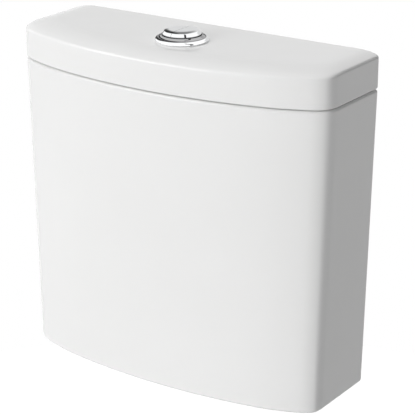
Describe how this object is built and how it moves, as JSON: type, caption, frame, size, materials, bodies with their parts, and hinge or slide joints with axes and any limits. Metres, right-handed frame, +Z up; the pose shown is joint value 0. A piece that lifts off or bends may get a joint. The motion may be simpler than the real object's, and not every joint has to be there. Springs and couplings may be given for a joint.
{
  "type": "toilet cistern",
  "caption": "Close-coupled toilet cistern: glazed bow-fronted tank and lid, chrome push button for full and half flush, flush valve, float fill valve and coupling bolts.",
  "frame": {"origin": "on the flush outlet's axis, in the plane of the tank's foot, midway between the coupling bolts", "axes": "+X to the right as seen from the front, +Y towards the wall behind, +Z up"},
  "size_m": [0.38, 0.141, 0.405],
  "materials": {
    "glaze": "gloss white glaze",
    "chrome": "polished",
    "steel": "bright",
    "brass": "plain",
    "white_plastic": "moulded",
    "grey_plastic": "moulded",
    "blue_plastic": "moulded",
    "soft_clear": "soft",
    "black_rubber": "soft"
  },
  "bodies": {
    "cistern": {"tank": "glaze", "lid_pads": "soft_clear", "valve_base": "white_plastic", "valve_gasket": "black_rubber", "valve_backnut": "grey_plastic", "coupling_gasket": "black_rubber", "valve_tower": "white_plastic", "lever_pins": "steel", "inlet_shank": "white_plastic", "inlet_washer": "black_rubber", "inlet_locknut": "white_plastic", "inlet_strainer": "grey_plastic", "fill_head": "white_plastic", "fill_cap": "blue_plastic", "arm_pin": "steel", "refill_pipe": "white_plastic", "coupling_bolts": "brass", "bolt_seals": "black_rubber", "bolt_head_washers": "steel", "bolt_clamp_washers": "steel", "bolt_nuts": "brass"},
    "lid": {"lid": "glaze", "button_bezel": "chrome", "bezel_gasket": "black_rubber", "bezel_nut": "white_plastic", "full_flush_spring": "steel", "half_flush_spring": "steel"},
    "full_button": {"full_flush_button": "chrome", "full_flush_rod": "steel"},
    "half_button": {"half_flush_button": "chrome", "half_flush_rod": "steel"},
    "full_lever": {"full_flush_lever": "grey_plastic"},
    "half_lever": {"half_flush_lever": "blue_plastic"},
    "half_link": {"half_flush_link": "blue_plastic"},
    "flush_tube": {"overflow_tube": "white_plastic", "tube_collar": "grey_plastic", "flush_seal": "soft_clear", "seal_retainer": "grey_plastic"},
    "flush_float": {"flush_float": "grey_plastic"},
    "fill_float": {"float_cup": "blue_plastic", "float_link": "brass", "thumb_nut": "white_plastic"},
    "float_arm": {"float_arm": "grey_plastic"}
  },
  "joints": [
    {"name": "lid_lift", "type": "slide", "parent": "cistern", "child": "lid", "axis": [0, 0, 1], "range_m": [0, 0.2]},
    {"name": "full_press", "type": "slide", "parent": "lid", "child": "full_button", "axis": [0, 0, -1], "range_m": [0, 0.008], "stiffness_N_per_m": 300, "springref_m": -0.01, "deforming": ["full_flush_spring"]},
    {"name": "half_press", "type": "slide", "parent": "lid", "child": "half_button", "axis": [0, 0, -1], "range_m": [0, 0.008], "stiffness_N_per_m": 300, "springref_m": -0.01, "deforming": ["half_flush_spring"]},
    {"name": "full_lever_turn", "type": "hinge", "parent": "cistern", "child": "full_lever", "pos_m": [0, -0.017, 0.252], "axis": [1, 0, 0], "range_deg": [0, 38]},
    {"name": "half_lever_turn", "type": "hinge", "parent": "cistern", "child": "half_lever", "pos_m": [0, -0.017, 0.252], "axis": [1, 0, 0], "range_deg": [0, 38]},
    {"name": "flush_tube_lift", "type": "slide", "parent": "cistern", "child": "flush_tube", "axis": [0, 0, 1], "range_m": [0, 0.0135]},
    {"name": "half_link_lift", "type": "slide", "parent": "cistern", "child": "half_link", "axis": [0, 0, 1], "range_m": [0, 0.0135]},
    {"name": "flush_float_rise", "type": "slide", "parent": "cistern", "child": "flush_float", "axis": [0, 0, 1], "range_m": [0, 0.015]},
    {"name": "fill_float_rise", "type": "slide", "parent": "cistern", "child": "fill_float", "axis": [0, 0, 1], "range_m": [0, 0.012]},
    {"name": "float_arm_turn", "type": "hinge", "parent": "cistern", "child": "float_arm", "pos_m": [-0.118, 0.009, 0.272], "axis": [-1, 0, 0], "range_deg": [0, 20]}
  ],
  "couplings": [
    {"joint": "full_lever_turn", "follows": "full_press", "rad_per_m": 80},
    {"joint": "flush_tube_lift", "follows": "full_press", "ratio": 1.68},
    {"joint": "half_lever_turn", "follows": "half_press", "rad_per_m": 80},
    {"joint": "half_link_lift", "follows": "half_press", "ratio": 1.68},
    {"joint": "float_arm_turn", "follows": "fill_float_rise", "rad_per_m": 28.571}
  ]
}
